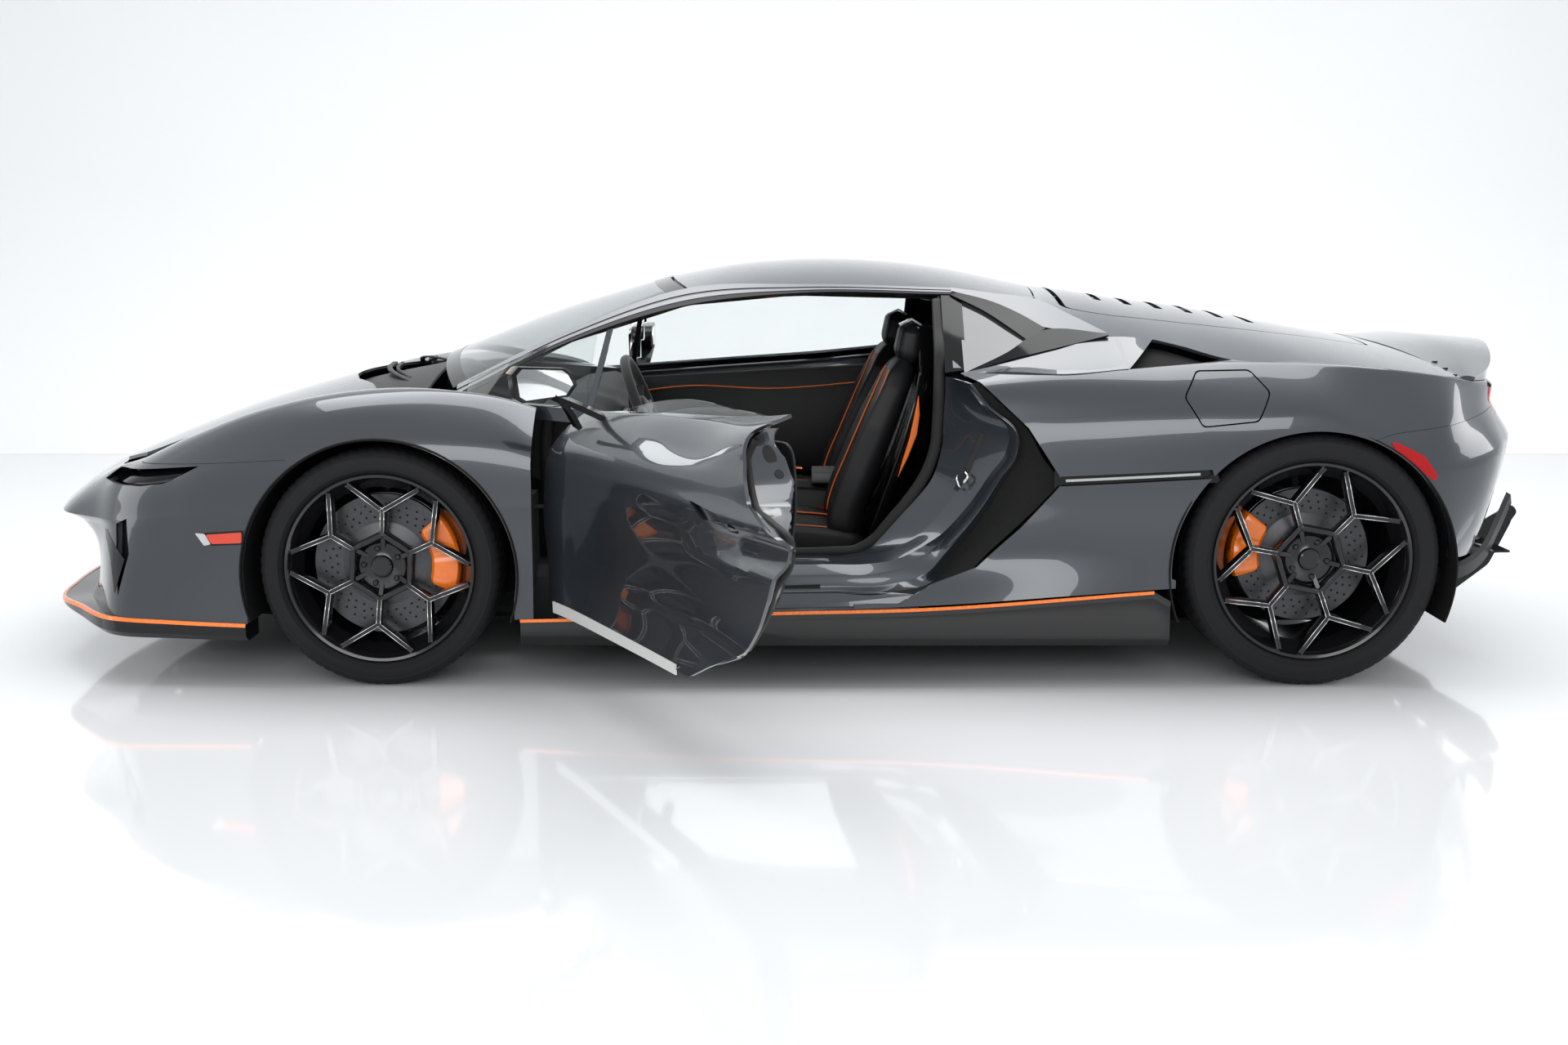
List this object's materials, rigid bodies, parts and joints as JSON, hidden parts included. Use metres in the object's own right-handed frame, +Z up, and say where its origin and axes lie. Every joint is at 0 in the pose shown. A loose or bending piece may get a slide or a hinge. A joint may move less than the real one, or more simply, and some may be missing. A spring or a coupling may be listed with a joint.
{
  "type": "supercar",
  "caption": "Low mid-engined two-seat coupe with one door open, steered front wheels, opening bonnet and engine cover, rolling wheels and carbon-style aero trim.",
  "frame": {"origin": "on the ground at the centre of the overall box, with the left door open as stored", "axes": "+X towards the tail, +Y to the right-hand side of the car, +Z up"},
  "size_m": [4.706, 3.365, 1.201],
  "materials": {
    "black_plastic": "satin black moulding",
    "brake_disc": "machined",
    "cabin_trim": "soft black",
    "caliper": "orange enamel",
    "engine_metal": "cast",
    "exhaust_metal": "brushed",
    "gloss_black": "gloss black",
    "lamp_dark": "smoked lens",
    "lamp_red": "red lens",
    "liner": "matt black",
    "paint": "dark grey metallic under clear lacquer",
    "rim_black": "satin black",
    "seat_leather": "black with orange piping",
    "side_glass": "tinted",
    "structure": "dark composite and painted alloy",
    "suspension_metal": "cast",
    "tyre": "matt",
    "windscreen_glass": "clear"
  },
  "bodies": {
    "root": {"arch_liners": "liner", "c_pillars": "gloss_black", "cowl": "black_plastic", "dashboard": "cabin_trim", "diffuser": "gloss_black", "engine_block": "engine_metal", "exhaust_pipes": "exhaust_metal", "front_bumper": "paint", "front_wings": "paint", "headlamps": "lamp_dark", "luggage_tub": "cabin_trim", "quarter_windows": "side_glass", "rear_bumper": "paint", "rear_calipers": "caliper", "rear_carriers": "suspension_metal", "rear_deck": "paint", "rear_quarters": "paint", "rear_window": "side_glass", "roof": "paint", "roof_frame": "gloss_black", "seats": "seat_leather", "side_skirts": "gloss_black", "splitter": "gloss_black", "spoiler": "paint", "steering_wheel": "cabin_trim", "suspension_arms": "suspension_metal", "tail_lamps": "lamp_red", "tail_panel": "gloss_black", "tub": "structure", "underfloor": "liner", "windscreen": "windscreen_glass"},
    "bonnet": {"bonnet": "paint"},
    "engine_cover": {"engine_cover": "paint"},
    "door_left": {"door_left": "paint", "door_glass_left": "side_glass"},
    "door_right": {"door_right": "paint", "door_glass_right": "side_glass"},
    "knuckle_left": {"knuckle_left": "suspension_metal", "caliper_front_left": "caliper"},
    "knuckle_right": {"knuckle_right": "suspension_metal", "caliper_front_right": "caliper"},
    "wheel_front_left": {"rim_front_left": "rim_black", "tyre_front_left": "tyre", "disc_front_left": "brake_disc"},
    "wheel_front_right": {"rim_front_right": "rim_black", "tyre_front_right": "tyre", "disc_front_right": "brake_disc"},
    "wheel_rear_left": {"rim_rear_left": "rim_black", "tyre_rear_left": "tyre", "disc_rear_left": "brake_disc"},
    "wheel_rear_right": {"rim_rear_right": "rim_black", "tyre_rear_right": "tyre", "disc_rear_right": "brake_disc"}
  },
  "joints": [
    {"name": "steer_left", "type": "hinge", "parent": "root", "child": "knuckle_left", "pos_m": [-1.193, -0.26446, 0.3432], "axis": [0, 0, 1], "range_deg": [-30, 30]},
    {"name": "steer_right", "type": "hinge", "parent": "root", "child": "knuckle_right", "pos_m": [-1.193, 1.38154, 0.3432], "axis": [0, 0, 1], "range_deg": [-30, 30]},
    {"name": "spin_front_left", "type": "hinge", "parent": "knuckle_left", "child": "wheel_front_left", "pos_m": [-1.193, -0.30246, 0.3432], "axis": [0, 1, 0], "continuous": true},
    {"name": "spin_front_right", "type": "hinge", "parent": "knuckle_right", "child": "wheel_front_right", "pos_m": [-1.193, 1.41954, 0.3432], "axis": [0, 1, 0], "continuous": true},
    {"name": "spin_rear_left", "type": "hinge", "parent": "root", "child": "wheel_rear_left", "pos_m": [1.465, -0.26946, 0.3642], "axis": [0, 1, 0], "continuous": true},
    {"name": "spin_rear_right", "type": "hinge", "parent": "root", "child": "wheel_rear_right", "pos_m": [1.465, 1.38654, 0.3642], "axis": [0, 1, 0], "continuous": true},
    {"name": "door_left_hinge", "type": "hinge", "parent": "root", "child": "door_left", "pos_m": [-0.694, -0.39946, 0.4], "axis": [0, 0, 1], "range_deg": [-2, 63]},
    {"name": "door_right_hinge", "type": "hinge", "parent": "root", "child": "door_right", "pos_m": [-0.694, 1.51654, 0.4], "axis": [0, 0, 1], "range_deg": [0, 65]},
    {"name": "bonnet_hinge", "type": "hinge", "parent": "root", "child": "bonnet", "pos_m": [-1.233, 0.55854, 0.77], "axis": [0, 1, 0], "range_deg": [0, 50]},
    {"name": "engine_cover_hinge", "type": "hinge", "parent": "root", "child": "engine_cover", "pos_m": [0.73, 0.55854, 1.066], "axis": [0, -1, 0], "range_deg": [0, 45]}
  ],
  "couplings": [
    {"joint": "steer_right", "follows": "steer_left", "ratio": 1}
  ]
}
